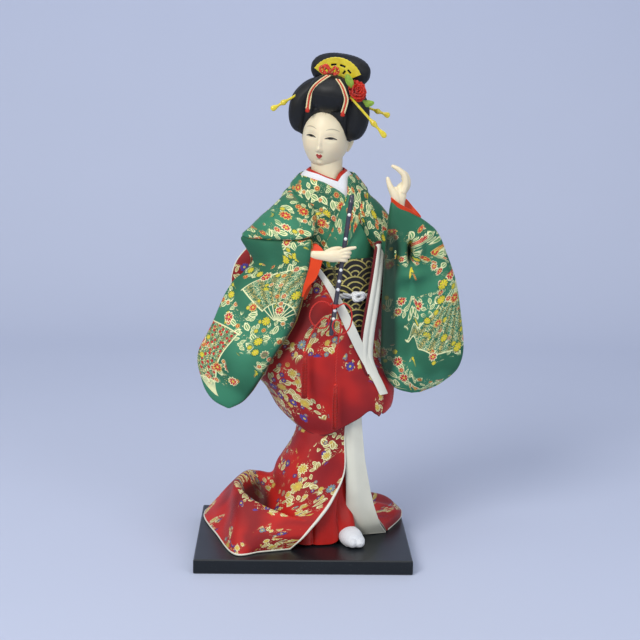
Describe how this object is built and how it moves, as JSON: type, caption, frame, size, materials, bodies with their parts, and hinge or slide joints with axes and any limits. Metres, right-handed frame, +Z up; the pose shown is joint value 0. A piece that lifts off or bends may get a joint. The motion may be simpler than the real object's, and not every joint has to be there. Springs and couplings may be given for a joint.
{
  "type": "japanese doll",
  "caption": "Standing costume doll in a brocade kimono and trailing outer robe, with dressed hair, comb and hairpins, one hand raised and a flute in the other, on a flat board.",
  "frame": {"origin": "centre of the underside of the base board", "axes": "+Z up, the doll's front faces -Y, +X towards the doll's left hand"},
  "size_m": [0.2346, 0.148, 0.4443],
  "materials": {
    "black_lacquer": "satin black lacquer on wood",
    "steel_rod": "drawn wire",
    "white_cotton": "close white cotton",
    "red_satin": "glossy red satin",
    "batting": "cotton batting",
    "robe_lining": "off-white silk lining",
    "red_brocade": "woven brocade, deep red with gold, blue and grey flowers",
    "green_brocade": "woven brocade, green with cream fans and flowers",
    "collar_white": "white silk",
    "collar_red": "red silk",
    "obi_cloth": "dark weave with gold wave arcs",
    "white_cord": "twisted white cord",
    "white_band": "off-white silk band",
    "flute_lacquer": "dark lacquer with white studs",
    "skin": "smooth ivory paint, soft sheen",
    "cuff_lining": "red-orange silk lining",
    "bare_wood": "bare turned wood",
    "amber_plastic": "translucent yellow, polished",
    "flower_silk": "stiffened red ribbon",
    "leaf_silk": "stiffened green cloth",
    "hair_fibre": "combed black fibre",
    "paper_cord": "stiff wound cord, red with gold thread",
    "red_cord": "plied red silk cord"
  },
  "bodies": {
    "figure": {"base_board": "black_lacquer", "rod_left": "steel_rod", "rod_right": "steel_rod", "tabi_left": "white_cotton", "tabi_right": "white_cotton", "satin_underskirt": "red_satin", "skirt_padding": "batting", "robe_lining_panel": "robe_lining", "robe_train": "red_brocade", "lapel_right": "green_brocade", "lapel_left": "green_brocade", "kimono_bodice": "green_brocade", "under_collar_white": "collar_white", "under_collar_red": "collar_red", "body_core": "batting", "obi": "obi_cloth", "obi_cord": "white_cord", "obi_cord_knot": "white_cord", "outer_robe": "red_brocade", "outer_robe_band": "white_band", "outer_robe_facing": "white_band", "outer_robe_fold": "red_brocade", "hand_right": "skin", "hand_left": "skin", "arm_right": "batting", "arm_left": "batting", "cuff_lining_right": "cuff_lining", "cuff_lining_left": "cuff_lining", "sleeve_right": "green_brocade", "sleeve_left": "green_brocade"},
    "head": {"head": "skin", "neck_peg": "bare_wood", "hair_cap": "hair_fibre", "hair_forelock": "hair_fibre", "hair_wing_right": "hair_fibre", "hair_wing_left": "hair_fibre", "hair_back_roll": "hair_fibre", "hair_bun": "hair_fibre", "paper_cord_right": "paper_cord", "paper_cord_left": "paper_cord", "paper_cord_bow": "paper_cord"},
    "comb": {"comb": "amber_plastic"},
    "pin_left": {"hairpin_left": "amber_plastic"},
    "pin_right_front": {"hairpin_right_front": "amber_plastic"},
    "pin_right_rear": {"hairpin_right_rear": "amber_plastic"},
    "flower": {"hair_flower": "flower_silk", "flower_leaf_upper": "leaf_silk", "flower_leaf_lower": "leaf_silk"},
    "flute": {"flute": "flute_lacquer", "flute_cord_tie": "red_cord", "flute_cord_knot": "red_cord", "flute_cord_left": "red_cord", "flute_cord_right": "red_cord", "tassel_left": "red_cord", "tassel_right": "red_cord"}
  },
  "joints": [
    {"name": "head_turn", "type": "hinge", "parent": "figure", "child": "head", "pos_m": [0.0165, 0.003, 0.334], "axis": [0, 0, 1], "range_deg": [-20, 20]},
    {"name": "comb_slide", "type": "slide", "parent": "head", "child": "comb", "axis": [0.1042, -0.0842, 0.991], "range_m": [0, 0.01]},
    {"name": "pin_left_slide", "type": "slide", "parent": "head", "child": "pin_left", "axis": [-0.8551, -0.1329, -0.5011], "range_m": [0, 0.012]},
    {"name": "pin_right_front_slide", "type": "slide", "parent": "head", "child": "pin_right_front", "axis": [0.6696, -0.1788, -0.7208], "range_m": [0, 0.012]},
    {"name": "pin_right_rear_slide", "type": "slide", "parent": "head", "child": "pin_right_rear", "axis": [0.9298, -0.1585, -0.3322], "range_m": [0, 0.012]},
    {"name": "flower_slide", "type": "slide", "parent": "head", "child": "flower", "axis": [0.6957, -0.5893, 0.4107], "range_m": [0, 0.01]},
    {"name": "flute_slide", "type": "slide", "parent": "figure", "child": "flute", "axis": [0.1304, 0.0495, 0.9902], "range_m": [-0.004, 0.003]}
  ]
}
